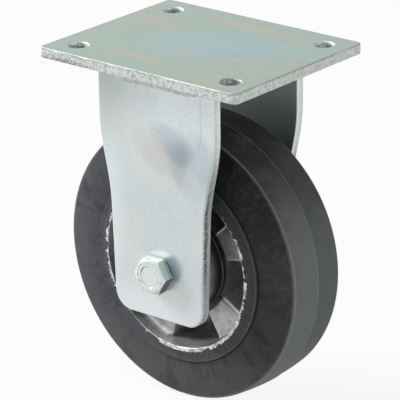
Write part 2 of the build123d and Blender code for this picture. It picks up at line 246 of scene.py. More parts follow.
# Top plate: grey-green zinc with a pale blue bloom, beige streaks and sheared edges. Painted shade
# darkens the edges that face right; the hole walls are painted lighter, with painted shade deep in
# them and in the front right hole
plateLook = {
    "green": tone(154, 171, 161),
    "blue": tone(148, 175, 177),
    "beige": tone(174, 169, 155),
    "smudge": tone(138, 144, 136),
    "edge": tone(216, 221, 219),
    "scale": tone(158, 160, 157),
    "speck": tone(88, 86, 80),
    # hole walls: a lighter tone that is painted light, and a dark tone of painted shade
    "paintedWall": tone(188, 200, 198),
    "wallShade": tone(84, 92, 90),
    "wide": {"size": 38, "detail": 2, "shift": 3},
    "medium": {"size": 9, "detail": 4, "rough": 0.6},
    "small": {"size": 2.4, "detail": 4, "rough": 0.7},
    "rolled": {"size": 1.1, "rough": 0.6, "stretch": (14, 1, 1)},
    "torn": {"size": 0.9, "detail": 4, "rough": 0.75, "stretch": (1.6, 1.6, 1)},
    "arcs": {"size": 9, "stretch": (5, 1, 1), "shift": 11},
    "breaks": {"size": 3, "detail": 2, "stretch": (4, 4, 1)},
    "speckSize": 2.6,
    "bloom": ((10, 3), (60, 38), 20, 0.9),
    "bloomSway": (26, 14),
    "stains": (
        ((31, -8), (19, 6), 38, 0.65),
        ((-18, -36), (26, 6), 0, 0.65),
        ((-46, 20), (18, 9), 30, 0.65),
        ((44, -44), (20, 7), 10, 0.65),
        ((2, 40), (44, 6), 0, 0.65),
    ),
    "stainSway": 8,
    "warmRun": (0.5, 0.72, 0.35),
    "arcLine": (0.5, 0.014, 0.4),
    "arcRun": (0.46, 0.6),
    "rolledRun": (0.5, 0.8, 0.2),
    "speckRun": (0.16, 0.06, 0.5),
    "speckedRun": (0.48, 0.6),
    "smudgeRun": (0.5, 0.8, 0.2),
    "sideRun": (0.85, 0.4),
    "dirtyCorner": ((-62, -56), (46, 20)),
    "dirtyRun": (-2.6, -5.2, 0.16),
    "pitSway": 0.2,
    "pitRun": (0.6, 0.68),
    "pitShare": 0.8,
    "scaleRun": (0.42, 0.64, 0.7),
    "borderLine": (-0.6, 0.6, 0.6),
    "borderRun": (0.36, 0.52),
    # painted shade on the edges that face right
    "rightPaintedRun": (0.4, 0.8, 0.4),
    "holes": (52.5, 40.0),
    "holeSquaredRun": (44, 37, 0.9),
    "wallRun": (0.52, 0.62),
    "holeShadeRuns": ((0, 10, 0.7), (0, -10), (0.36, 0.5)),
    "deepShadeRuns": ((-1.2, -3.2, 0.9), (0.4, 0.52)),
    "metal": 0.5,
    "rough": 0.42,
    "roughSway": 0.25,
    "sideRough": 0.12,
    "bumps": {"rolled": 0.012, "medium": 0.03, "torn": 0.22, "pits": 0.25},
}


def plateFinish(look):
    f = Finish("zincPlate")
    wide, medium, small, rolled, torn, arcs, breaks = f.clouds(
        look, "wide", "medium", "small", "rolled", "torn", "arcs", "breaks")
    swayX, swayY = (wave.sway(reach) for wave, reach in zip((wide, medium), look["bloomSway"]))
    bloom = f.patch(f.x + swayX, f.y + swayY, *look["bloom"])
    colour = f.blend(bloom, look["green"], look["blue"])
    across, along = f.x + medium.sway(look["stainSway"]), f.y + wide.sway(look["stainSway"])
    for stain in look["stains"]:
        colour = f.blend(f.patch(across, along, *stain), colour, look["beige"])
    specks = f.cells(look["speckSize"]).between(*look["speckRun"])
    specks = specks * medium.between(*look["speckedRun"])
    colour = f.layers(
        colour,
        (wide.between(*look["warmRun"]), look["beige"]),
        (arcs.near(*look["arcLine"]) * wide.between(*look["arcRun"]), look["smudge"]),
        (rolled.between(*look["rolledRun"]), look["smudge"]),
        (specks + small.between(*look["smudgeRun"]), look["smudge"]),
    )

    dirty = f.z.between(*look["dirtyRun"]) * f.patch(f.x, f.y, *look["dirtyCorner"])
    pits = (torn + dirty + medium.sway(look["pitSway"])).between(*look["pitRun"])
    border = f.z.near(*look["borderLine"]) * breaks.between(*look["borderRun"])
    edge = f.layers(
        look["edge"],
        (small.between(*look["scaleRun"]), look["scale"]),
        (pits * look["pitShare"], look["speck"]),
        (border, look["speck"]),
        # painted shade: edges that face right take the darker scale tone
        (f.faceX.between(*look["rightPaintedRun"]), look["scale"]),
    )

    # hole walls painted lighter as painted light, with painted shade deeper down and in the front
    # right hole
    across, along = (abs(part) - hole for part, hole in zip((f.x, f.y), look["holes"]))
    inHole = (across * across + along * along).between(*look["holeSquaredRun"])
    holeShadeX, holeShadeY, holeShadeSmall = look["holeShadeRuns"]
    holeShade = f.x.between(*holeShadeX) * f.y.between(*holeShadeY) * small.between(*holeShadeSmall)
    deepZ, deepSmall = look["deepShadeRuns"]
    deepShade = f.z.between(*deepZ) * small.between(*deepSmall)
    paintedWall = f.blend(small.between(*look["wallRun"]), look["paintedWall"], look["edge"])
    paintedWall = f.blend(holeShade.larger(deepShade), paintedWall, look["wallShade"])

    side = abs(f.faceZ).between(*look["sideRun"])
    colour = f.layers(colour, (side, edge), (inHole, paintedWall))
    rough = look["rough"] + medium.sway(look["roughSway"]) + side * look["sideRough"]
    bumps = look["bumps"]
    height = rolled * bumps["rolled"] + medium * bumps["medium"]
    height = height + side * (torn * bumps["torn"] - pits * bumps["pits"])
    return f.surface(colour, rough, look["metal"], height)


dress(plateFinish(plateLook), "top_plate")


# Fork legs: smooth pale blue-grey zinc, with torn and burnished bands on the cut edges. Painted
# light brightens the upper right, the foot and a band on the left; painted shade darkens the upper
# left and the inner faces.
# The front leg has a dark blue patch, a warm halo beside it, painted shade beside the bolt's head
# and a painted highlight above it.
legLook = {
    "pale": tone(220, 225, 224),
    "blue": tone(210, 219, 222),
    "paintedLight": tone(234, 241, 244),
    "paintedHighlightTone": tone(248, 250, 250),
    "insideShade": tone(138, 146, 143),
    "tint": tone(128, 149, 164),
    "stain": tone(122, 153, 168),
    # stain: the tone of the painted shade beside the bolt's head
    "warm": tone(204, 201, 197),
    "green": tone(176, 188, 184),
    "torn": tone(70, 80, 84),
    "shine": tone(222, 226, 224),
    "wide": {"size": 45, "detail": 2, "shift": 7},
    "slow": {"size": 17, "detail": 2, "shift": 2},
    "medium": {"size": 7, "detail": 4, "rough": 0.6},
    "fine": {"size": 0.7, "rough": 0.6},
    "grain": {"size": 0.9, "rough": 0.7},
    "brushed": {"size": 1.2, "stretch": (1, 1, 6)},
    "streak": {"size": 0.6, "rough": 0.7, "stretch": (1, 5, 1)},
    "blueRun": (0.35, 0.65),
    "paintedLightRuns": ((-70, -26), (-26, 14)),
    # painted shade at the upper left
    "shadedCornerRuns": ((-60, -22, 0.5), (-14, -36)),
    "grainRun": (0.42, 0.62, 0.25),
    "brushedRun": (0.5, 0.7, 0.08),
    # painted light at the foot and on a band at the left
    "paleFootRun": (-118, -140, 0.6),
    "paleSideRuns": ((-18, -34, 0.6), (-36, -70)),
    # painted shade on the inner faces
    "insideShadeRun": (0, -12),
    "insideTop": 0.4,
    "insideDownRun": (-30, -60, 0.6),
    "bluePatchSway": (5, 10),
    "bluePatch": ((16, -45), (26, 12.5), -25, 0.38),
    "bluePatchCore": ((22, -57), (21, 15), -50, 0.42),
    "bluePatchTail": ((33, -52), (12, 24), 20, 0.3),
    "halo": ((3, -54), (26, 11), -30, 0.6),
    "bendRun": (-36, -62, 12),
    "beyond": 0.45,
    "withinRun": (34.2, 26.2, 0.55),
    "bentLine": (31.2, 0.9, 0.22),
    "bentLineRun": (-68, -44),
    "paintedBoltShade": ((9.5, -115), (10.5, 9), 40, 0.8),
    "paintedHighlight": ((1.5, -108.6), (9.5, 2.6), 10, 0.8),
    "cutRun": (0.75, 0.35),
    "innerFace": 33,
    "lowerRun": (-48, -80),
    "upperShare": 0.25,
    "tearSways": (4, 3),
    "tearLine": (4.4, 3.2),
    "tearRun": (0.34, 0.5),
    "tearFoot": 0.3,
    "tearUpRun": (-130, -108, 0.7),
    "tearShare": 0.95,
    "dullRun": (0.4, 0.62, 0.4),
    "dullLower": 0.35,
    "cornerLine": (0.72, 0.3, 0.75),
    "cornerRun": (2.5, 4),
    "chipRun": (0.44, 0.54),
    "metal": 0.55,
    "rough": 0.36,
    "roughSway": 0.16,
    "cutRough": 0.1,
    "bumps": {"fine": 0.006, "medium": 0.015, "streak": 0.08, "torn": 0.2},
}


def bluePatchColour(f, look, colour, medium):  # the front leg's dark blue patch, the painted shade beside the bolt's head and the painted highlight above it
    slow = f.cloud(**look["slow"])
    swayX, swayZ = (wave.sway(reach) for wave, reach in zip((medium, slow), look["bluePatchSway"]))
    swayX, swayZ = f.x + swayX, f.z + swayZ
    # a dark blue patch along the leg's bend, darker inside the bend line, with a warm halo beside
    # it
    bluePatch, core, tail, halo = (
        f.patch(swayX, swayZ, *look[part]) for part in ("bluePatch", "bluePatchCore", "bluePatchTail", "halo"))
    bent = f.x + f.z.between(*look["bendRun"])
    dark = (bluePatch + core) * (look["beyond"] + bent.between(*look["withinRun"]))
    line = bent.near(*look["bentLine"]) * f.z.between(*look["bentLineRun"])
    return f.layers(
        colour,
        (halo, look["warm"]),
        (dark.larger(tail), look["tint"]),
        # painted shade beside the bolt's head
        (f.patch(swayX, f.z, *look["paintedBoltShade"]), look["stain"]),
        # painted highlight above the bolt's head
        (f.patch(f.x, f.z, *look["paintedHighlight"]), look["paintedHighlightTone"]),
        (line, look["tint"]),
    )


def legFinish(name, look, tinted):
    f = Finish(name)
    wide, medium, fine, grain, brushed, streak = f.clouds(
        look, "wide", "medium", "fine", "grain", "brushed", "streak")
    highZ, highX = look["paintedLightRuns"]
    cornerZ, cornerX = look["shadedCornerRuns"]
    sideX, sideZ = look["paleSideRuns"]
    grained = grain.between(*look["grainRun"]) + brushed.between(*look["brushedRun"])
    paintedPale = f.z.between(*look["paleFootRun"])
    paintedPale = paintedPale.larger(f.x.between(*sideX) * f.z.between(*sideZ))
    shaded = look["insideTop"] + f.z.between(*look["insideDownRun"])
    colour = f.layers(
        look["pale"],
        (wide.between(*look["blueRun"]), look["blue"]),
        # painted light: the upper right of each leg is lighter
        (f.z.between(*highZ) * f.x.between(*highX), look["paintedLight"]),
        # painted shade: the upper left of each leg takes the darker green tone
        (f.z.between(*cornerZ) * f.x.between(*cornerX), look["green"]),
        (grained, look["green"]),
        # painted light: the foot and a band on the left side are lighter
        (paintedPale, look["paintedLight"]),
        # painted shade on the inner faces, stronger lower down
        ((f.y * f.faceY).between(*look["insideShadeRun"]) * shaded, look["insideShade"]),
    )
    if tinted:
        colour = bluePatchColour(f, look, colour, medium)

    cut = abs(f.faceY).between(*look["cutRun"])
    depth = abs(f.y) - look["innerFace"]
    lower = f.z.between(*look["lowerRun"])
    streakSway, mediumSway = look["tearSways"]
    ragged = (depth + streak.sway(streakSway) + medium.sway(mediumSway)).near(*look["tearLine"])
    ragged = ragged * streak.between(*look["tearRun"]) * lower.larger(look["upperShare"])
    ragged = ragged * (look["tearFoot"] + f.z.between(*look["tearUpRun"]))
    edge = f.layers(
        look["shine"],
        (fine.between(*look["dullRun"]) + lower * look["dullLower"], look["green"]),
        (ragged * look["tearShare"], look["torn"]),
    )
    corner = abs(f.faceY).near(*look["cornerLine"]) * depth.between(*look["cornerRun"])
    chips = corner * streak.between(*look["chipRun"]) * lower
    colour = f.layers(colour, (cut, edge), (chips, look["torn"]))
    rough = look["rough"] + medium.sway(look["roughSway"]) + cut * look["cutRough"]
    bumps = look["bumps"]
    height = fine * bumps["fine"] + medium * bumps["medium"]
    height = height + cut * (streak * bumps["streak"] - ragged * bumps["torn"])
    return f.surface(colour, rough, look["metal"], height)


dress(legFinish("zincLegFront", legLook, True), "front_fork_leg")
dress(legFinish("zincLegBack", legLook, False), "back_fork_leg")
print("plate and legs dressed")


# Weld beads: the CAD bead's section, with the ripples of a hand weld
weldLook = {
    "light": tone(222, 224, 222),
    "dark": tone(176, 179, 178),
    "outline": tone(112, 118, 118),
    "medium": {"size": 2.5, "detail": 4, "rough": 0.6},
    "fine": {"size": 0.5, "rough": 0.6},
    "darkRun": (0.42, 0.62),
    "footSway": 0.8,
    "footRun": (-13.9, -14.5, 0.7),
    "metal": 0.4,
    "rough": 0.4,
    "roughSway": 0.3,
    "bumps": {"medium": 0.05, "fine": 0.02},
    "halfLength": 25.0,
    "height": 8.5,
    "reach": 6.5,
    "slant": (0.79, 0.61),
    "bulge": 0.75,
    "ripple": 0.08,
    "pitch": 2.7,
    "bow": 0.9,
    "drift": (0.15, 0.4),  # the pitch and size of a noise along the bead
    "wobble": (0.16, 2, 5, 0.3),  # three pitches and a size
    "ripplePower": 0.7,
    "rippleDepth": 1.4,
    "tip": 0.04,
    "raggedFoot": (0.3, 7, 0.5),  # a pitch, a shift and a size
    "steps": 240,
    "ribs": 16,
    "sharp": 60,
}


def weldFinish(look):
    f = Finish("weldMetal")
    medium, fine = f.clouds(look, "medium", "fine")
    foot = (f.z + medium.sway(look["footSway"])).between(*look["footRun"])
    colour = f.layers(
        look["light"],
        (medium.between(*look["darkRun"]), look["dark"]),
        (foot, look["outline"]),
    )
    rough = look["rough"] + medium.sway(look["roughSway"])
    height = medium * look["bumps"]["medium"] + fine * look["bumps"]["fine"]
    return f.surface(colour, rough, look["metal"], height)


def beadLift(x, share, side, look):  # how far the bead stands off its straight slope
    hump = 4 * share * (1 - share)
    driftPitch, drift = look["drift"]
    phase = x / look["pitch"] + (1 - hump) * look["bow"]
    phase += drift * noise.noise(Vector((x * driftPitch, side, 0)))
    wave = abs(math.sin(math.pi * phase)) ** look["ripplePower"]
    ripple = look["ripple"] * (1 - wave * look["rippleDepth"])
    alongPitch, upPitch, sidePitch, wobble = look["wobble"]
    spot = Vector((x * alongPitch, share * upPitch, side * sidePitch))
    wobble *= noise.noise(spot)
    return (look["bulge"] + ripple + wobble) * math.sqrt(hump)


def weldBead(name, side, look, material):
    corners = []
    reach = look["halfLength"] + look["reach"]
    count = look["ribs"] + 2
    slantOut, slantDown = look["slant"]
    footPitch, footShift, footDepth = look["raggedFoot"]
    for step in range(look["steps"] + 1):
        x = -reach * math.cos(math.pi * step / look["steps"])
        past = max(0.0, abs(x) - look["halfLength"]) / look["reach"]
        size = max(look["tip"], math.sqrt(max(0.0, 1 - past * past)))
        corners.append((x, side * legFace, plateUnder))
        for rib in range(look["ribs"] + 1):
            share = rib / look["ribs"]
            lift = beadLift(x, share, side, look)
            out = look["reach"] * share + slantOut * lift
            down = look["height"] * (1 - share) + slantDown * lift
            if share == 0:
                down += footDepth * noise.noise(Vector((x * footPitch, footShift, side)))
            corners.append((x, side * (legFace + out * size), plateUnder - down * size))
    rings = look["steps"] + 1
    faces = loopFaces(rings, count, False)
    faces.append(tuple(range(count)))
    faces.append(tuple(range((rings - 1) * count, rings * count)))
    mesh = solidMesh(name, corners, faces)
    addPiece(name, mesh, material, "fork", "weld_bead", look["sharp"], name.replace("_bead", ""))


weldMetal = weldFinish(weldLook)
weldBead("front_weld_bead", -1, weldLook, weldMetal)
weldBead("back_weld_bead", 1, weldLook, weldMetal)
print("weld beads made")


# Bolt, nut and washer: bright zinc. The bolt is made again with a thread that shows behind the
# nut. Its head has a worn rim, pocks and a gold line where it meets the leg; painted shade darkens
# the flanks that face down and the gap at the leg.
brightLook = {
    "pale": tone(220, 230, 227),
    "blue": tone(190, 212, 218),
    "gold": tone(232, 222, 192),
    "face": tone(236, 240, 238),
    "dark": tone(48, 54, 52),
    "mediumCloud": {"size": 4, "detail": 4, "rough": 0.6},
    "fine": {"size": 0.6, "rough": 0.65},
    "goldCloud": {"size": 6, "detail": 2, "shift": 4},
    "pockCloud": {"size": 3, "detail": 2, "shift": 9},
    "paintedShade": {"size": 1.2, "stretch": (3, 1, 3)},
    "rings": {"size": 0.5, "detail": 2, "stretch": (1, 30, 30), "turning": True},
    "pockSize": 1.3,
    "endRun": (0.7, 0.95),
    "blueRun": (0.42, 0.64, 0.7),
    "goldRun": (0.58, 0.72, 0.35),
    "faceRun": (0.35, 0.6, 0.8),
    "pockRuns": ((0.3, 0.16), (0.5, 0.56), (4.5, 6.5)),
    "pockShare": 0.8,
    "ridgeLines": ((8.4, 0.3), (5.9, 0.25, 0.8)),
    "ridgeShare": 0.3,
    "flankShadeRun": (-0.1, -0.45),
    "paintedShadeRun": (0.15, 0.4),
    "goldLine": (-39.9, 0.6),
    "gapShadeLine": (-40.9, 0.7, 0.6),
    "metal": 0.5,
    "rough": 0.2,
    "roughSway": 0.25,
    "bumps": {"fine": 0.006, "medium": 0.012, "pocks": 0.1, "rings": 0.006, "ridges": 0.06},
}


def brightFinish(name, look, shift):
    f = Finish(name)
    f.roundAxle()
    medium = f.cloud(**look["mediumCloud"], shift=shift)
    fine, goldCloud, pockCloud, paintedShade, rings = f.clouds(
        look, "fine", "goldCloud", "pockCloud", "paintedShade", "rings")
    endFace = abs(f.faceY).between(*look["endRun"])
    flank = 1 - endFace
    cellRun, cloudRun, radiusRun = look["pockRuns"]
    pocks = f.cells(look["pockSize"], shift).between(*cellRun) * pockCloud.between(*cloudRun)
    pocks = pocks * f.radius.between(*radiusRun)
    outer, inner = (f.radius.near(*line) for line in look["ridgeLines"])
    ridges = (outer + inner) * endFace
    # painted shade on the flanks that face down
    flankShade = f.faceZ.between(*look["flankShadeRun"]) * flank * paintedShade.between(*look["paintedShadeRun"])
    dark = pocks * look["pockShare"] + ridges * look["ridgeShare"]
    # painted shade also in the gap where the head meets the leg
    dark = dark + flankShade.larger(f.y.near(*look["gapShadeLine"]) * flank)
    colour = f.layers(
        look["pale"],
        (medium.between(*look["blueRun"]), look["blue"]),
        (goldCloud.between(*look["goldRun"]), look["gold"]),
        (endFace * medium.between(*look["faceRun"]), look["face"]),
        (f.y.near(*look["goldLine"]) * flank, look["gold"]),
        (dark, look["dark"]),
    )
    bumps = look["bumps"]
    height = fine * bumps["fine"] + medium * bumps["medium"] - pocks * bumps["pocks"]
    height = height + rings * bumps["rings"] + ridges * bumps["ridges"]
    return f.surface(colour, look["rough"] + medium.sway(look["roughSway"]), look["metal"], height)


# The thread runs from the cut, inside the nut, to the bolt's end. The two reaches are in metres.
boltShape = {
    "cut": 44.0,
    "end": 61.0,
    "radius": 6.0,
    "depth": 0.95,
    "pitch": 1.75,
    "flank": 2.4,
    "root": 0.8,
    "point": 1.2,
    "around": 72,
    "perPitch": 10,
    "sharp": 28,
    "flush": 0.01,
    "joinReach": 1e-6,
    "cutReach": 1e-7,
}


def threadRadius(y, share, shape):  # at a place along the bolt and a share of the way round it
    if y < shape["cut"] + shape["flush"]:
        return shape["radius"]
    phase = (y / shape["pitch"] + share) % 1.0
    groove = max(0.0, 1 - abs(phase - 0.5) * shape["flank"])
    radius = shape["radius"] - shape["depth"] * groove ** shape["root"]
    return min(radius, shape["radius"] + min(0.0, shape["end"] - y - shape["point"]))


def threadedBolt(name, shape, material):
    mesh = nodes["axle_bolt"].data.copy()
    if "custom_normal" in mesh.attributes:
        mesh.attributes.remove(mesh.attributes["custom_normal"])
    work = bmesh.new()
    work.from_mesh(mesh)
    bmesh.ops.remove_doubles(work, verts=work.verts, dist=shape["joinReach"])
    bmesh.ops.bisect_plane(
        work, geom=work.verts[:] + work.edges[:] + work.faces[:], dist=shape["cutReach"],
        plane_co=Vector((0, shape["cut"] * mm, 0)), plane_no=(0, 1, 0), clear_outer=True)
    bmesh.ops.holes_fill(work, edges=[edge for edge in work.edges if edge.is_boundary])
    length = shape["end"] - shape["cut"]
    steps = int(length / shape["pitch"] * shape["perPitch"])
    rings = []
    for step in range(steps + 1):
        y = shape["cut"] + length * step / steps
        ring = []
        for turn in range(shape["around"]):
            share = turn / shape["around"]
            angle = 2 * math.pi * share
            radius = threadRadius(y, share, shape)
            x, z = radius * math.cos(angle), axleHeight + radius * math.sin(angle)
            ring.append(work.verts.new((x * mm, y * mm, z * mm)))
        rings.append(ring)
    for first, second in zip(rings, rings[1:]):
        for turn in range(shape["around"]):
            ahead = (turn + 1) % shape["around"]
            work.faces.new((first[turn], first[ahead], second[ahead], second[turn]))
    work.faces.new(rings[-1])
    work.faces.new(list(reversed(rings[0])))
    bmesh.ops.recalc_face_normals(work, faces=work.faces)
    work.to_mesh(mesh)
    work.free()
    addPiece(name, mesh, material, "fork", "bright_bolt", shape["sharp"], "axle_bolt")


threadedBolt("threaded_axle_bolt", boltShape, brightFinish("brightBolt", brightLook, 2))
dress(brightFinish("brightNut", brightLook, 13), "lock_nut")
dress(brightFinish("brightWasher", brightLook, 31), "nut_washer")
print("bolt, nut and washer made")


# Nut ring: a hard milky plastic with fine turning marks
nutRingLook = {
    "milk": tone(218, 216, 206),
    "dull": tone(190, 186, 172),
    "medium": {"size": 2},
    "marks": {"size": 0.4, "detail": 2, "stretch": (1, 20, 20), "turning": True},
    "dullRun": (0.4, 0.65),
    "rough": 0.45,
    "roughSway": 0.2,
    "bumps": {"marks": 0.03, "medium": 0.02},
}


def nutRingFinish(look):
    f = Finish("nutRingPlastic")
    f.roundAxle()
    medium, marks = f.clouds(look, "medium", "marks")
    colour = f.blend(medium.between(*look["dullRun"]), look["milk"], look["dull"])
    rough = look["rough"] + medium.sway(look["roughSway"])
    height = marks * look["bumps"]["marks"] + medium * look["bumps"]["medium"]
    return f.surface(colour, rough, 0.0, height)


dress(nutRingFinish(nutRingLook), "lock_nut_ring")


# Turned and ground steel of the axle tube, spacers and bearings
steelLook = {
    "turned": {"light": tone(186, 186, 184), "dark": tone(140, 141, 140),
               "rough": 0.34, "marks": 0.035},
    "ground": {"light": tone(208, 208, 206), "dark": tone(176, 177, 177),
               "rough": 0.2, "marks": 0.01},
    "cage": {"light": tone(178, 174, 164), "dark": tone(132, 128, 118),
             "rough": 0.38, "marks": 0.03},
    "ball": {"light": tone(226, 226, 226), "dark": tone(206, 207, 208),
             "rough": 0.1, "marks": 0.002},
    "medium": {"size": 3, "detail": 4, "rough": 0.6},
    "rings": {"size": 0.35, "detail": 2, "stretch": (1, 60, 1), "turning": True},
    "oil": {"size": 7, "shift": 5},
    "ringRun": (0.35, 0.65, 0.6),
    "mediumShare": 0.3,
    "oilRun": (0.5, 0.68),
    "oilShare": 0.35,
    "metal": 0.85,
    "roughSway": 0.2,
    "oilShine": 0.05,
}


def steelFinish(kind, look):
    f = Finish(kind + "Steel")
    f.roundAxle()
    own = look[kind]
    medium, rings, oil = f.clouds(look, "medium", "rings", "oil")
    oil = oil.between(*look["oilRun"])
    ringed = rings.between(*look["ringRun"]) + medium * look["mediumShare"]
    colour = f.layers(own["light"], (ringed, own["dark"]), (oil * look["oilShare"], own["dark"]))
    rough = own["rough"] + medium.sway(look["roughSway"]) - oil * look["oilShine"]
    return f.surface(colour, rough, look["metal"], rings * own["marks"] + medium * own["marks"])


dress(steelFinish("turned", steelLook),
      "axle_tube", "front_spacer", "back_spacer", "bearing_spacer")
groundSteel = steelFinish("ground", steelLook)
cageSteel = steelFinish("cage", steelLook)
ballSteel = steelFinish("ball", steelLook)


# Bearing seals: matt black rubber with moulded rings
sealLook = {
    "black": tone(38, 38, 39),
    "dust": tone(84, 83, 80),
    "medium": {"size": 3, "detail": 4, "rough": 0.6},
    "fine": {"size": 0.4, "detail": 2},
    "ringLines": ((16.2, 0.5), (18.8, 0.5)),
    "dustRun": (0.5, 0.72, 0.5),
    "rough": 0.55,
    "roughSway": 0.3,
    "bumps": {"rings": 0.15, "fine": 0.03},
}


def sealFinish(look):
    f = Finish("sealRubber")
    f.roundAxle()
    medium, fine = f.clouds(look, "medium", "fine")
    inner, outer = (f.radius.near(*line) for line in look["ringLines"])
    colour = f.blend(medium.between(*look["dustRun"]), look["black"], look["dust"])
    rough = look["rough"] + medium.sway(look["roughSway"])
    height = (inner + outer) * look["bumps"]["rings"] + fine * look["bumps"]["fine"]
    return f.surface(colour, rough, 0.0, height)


sealRubber = sealFinish(sealLook)
for place in ("front", "back"):
    dress(groundSteel, place + "_bearing_inner_ring", place + "_bearing_outer_ring")
    dress(cageSteel, place + "_bearing_cage")
    dress(ballSteel, place + "_bearing_balls")
    dress(sealRubber, place + "_bearing_outboard_seal", place + "_bearing_inboard_seal")
print("bearings dressed")


# Rim: grey cast aluminium with a fine rough skin and a bright worn lip. Painted shade darkens the
# hub near the web and the inside of the barrel; painted highlights brighten the rib walls and
# rounded edges
rimLook = {
    "cast": tone(200, 199, 199),
    "shade": tone(152, 151, 151),
    "stain": tone(136, 125, 116),
    # the tone of the painted shade round the hub and in the barrel
    "paintedShade": tone(36, 34, 31),
    # bright: the bare lip's metal, also used for painted highlights
    "bright": tone(238, 237, 240),
    "chip": tone(96, 94, 98),
    "wide": {"size": 14, "shift": 6},
    "medium": {"size": 3, "detail": 4, "rough": 0.65},
    "grains": {"size": 0.55, "rough": 0.7},
    "chips": {"size": 0.8, "rough": 0.75, "shift": 14},
    "wear": {"size": 0.8, "rough": 0.7},
    "shadeRun": (0.38, 0.66),
    "stainRun": (0.5, 0.68, 0.5),
    "grainRun": (0.48, 0.64, 0.45),
    "hubRuns": ((31.5, 30.4), (26, 26.6)),
    "hubDepthRun": (14, 16.5),
    "hubShade": 0.9,
    "hubLitRuns": ((19, 27, 0.75), (-98, -118)),
    "barrelRun": (44, 46.5, 0.15),
    "barrelDepthRun": (24, 21),
    "ribRun": (0.5, 0.2, 0.5),
    "ribRuns": ((29, 31), (45, 44)),
    "roundLine": (0.7, 0.3),
    "roundRuns": ((47, 46), (31.5, 32.5)),
    "roundShare": 0.8,
    "lipRun": (47.6, 47.9),
    "lipDepthRun": (24.3, 24.6),
    "lipShadeRun": (0.4, 0.6, 0.8),
    "chipRun": (0.56, 0.62),
    "metal": 0.7,
    "rough": 0.48,
    "roughSway": 0.3,
    "wornShine": 0.1,
    "roundShine": 0.14,
    "bumps": {"grains": 0.07, "medium": 0.08, "wear": 0.1},
}


def rimFinish(look):
    f = Finish("castAluminium")
    f.roundAxle()
    wide, medium, grains, chips, wear = f.clouds(
        look, "wide", "medium", "grains", "chips", "wear")
    fromMiddle = abs(f.y)
    upright = abs(f.faceY)
    hubLitY, hubLitZ = look["hubLitRuns"]
    hubLitPart = fromMiddle.between(*hubLitY) * f.z.between(*hubLitZ)
    onHub = f.ring(*look["hubRuns"]) * fromMiddle.between(*look["hubDepthRun"])
    inBarrel = f.radius.between(*look["barrelRun"]) * fromMiddle.between(*look["barrelDepthRun"])
    ribs = upright.between(*look["ribRun"]) * f.ring(*look["ribRuns"])
    roundHighlight = upright.near(*look["roundLine"]) * f.ring(*look["roundRuns"])
    worn = f.radius.between(*look["lipRun"]) * fromMiddle.between(*look["lipDepthRun"])
    bare = f.layers(
        look["bright"],
        (medium.between(*look["lipShadeRun"]), look["shade"]),
        (chips.between(*look["chipRun"]), look["chip"]),
    )
    colour = f.layers(
        look["cast"],
        (wide.between(*look["shadeRun"]), look["shade"]),
        (medium.between(*look["stainRun"]), look["stain"]),
        (grains.between(*look["grainRun"]), look["shade"]),
        # painted shade on the hub near the web, eased where the hub's lower part is lit
        (onHub * (look["hubShade"] - hubLitPart), look["paintedShade"]),
        # painted shade inside the barrel
        (inBarrel, look["paintedShade"]),
        # painted highlight on the rib walls
        (ribs, look["bright"]),
        # painted highlight on the rounded edges
        (roundHighlight * look["roundShare"], look["bright"]),
        (worn, bare),
    )
    rough = look["rough"] + medium.sway(look["roughSway"])
    rough = rough - worn * look["wornShine"] - roundHighlight * look["roundShine"]
    bumps = look["bumps"]
    height = grains * bumps["grains"] + medium * bumps["medium"] + worn * wear * bumps["wear"]
    return f.surface(colour, rough, look["metal"], height)


dress(rimFinish(rimLook), "wheel_rim")


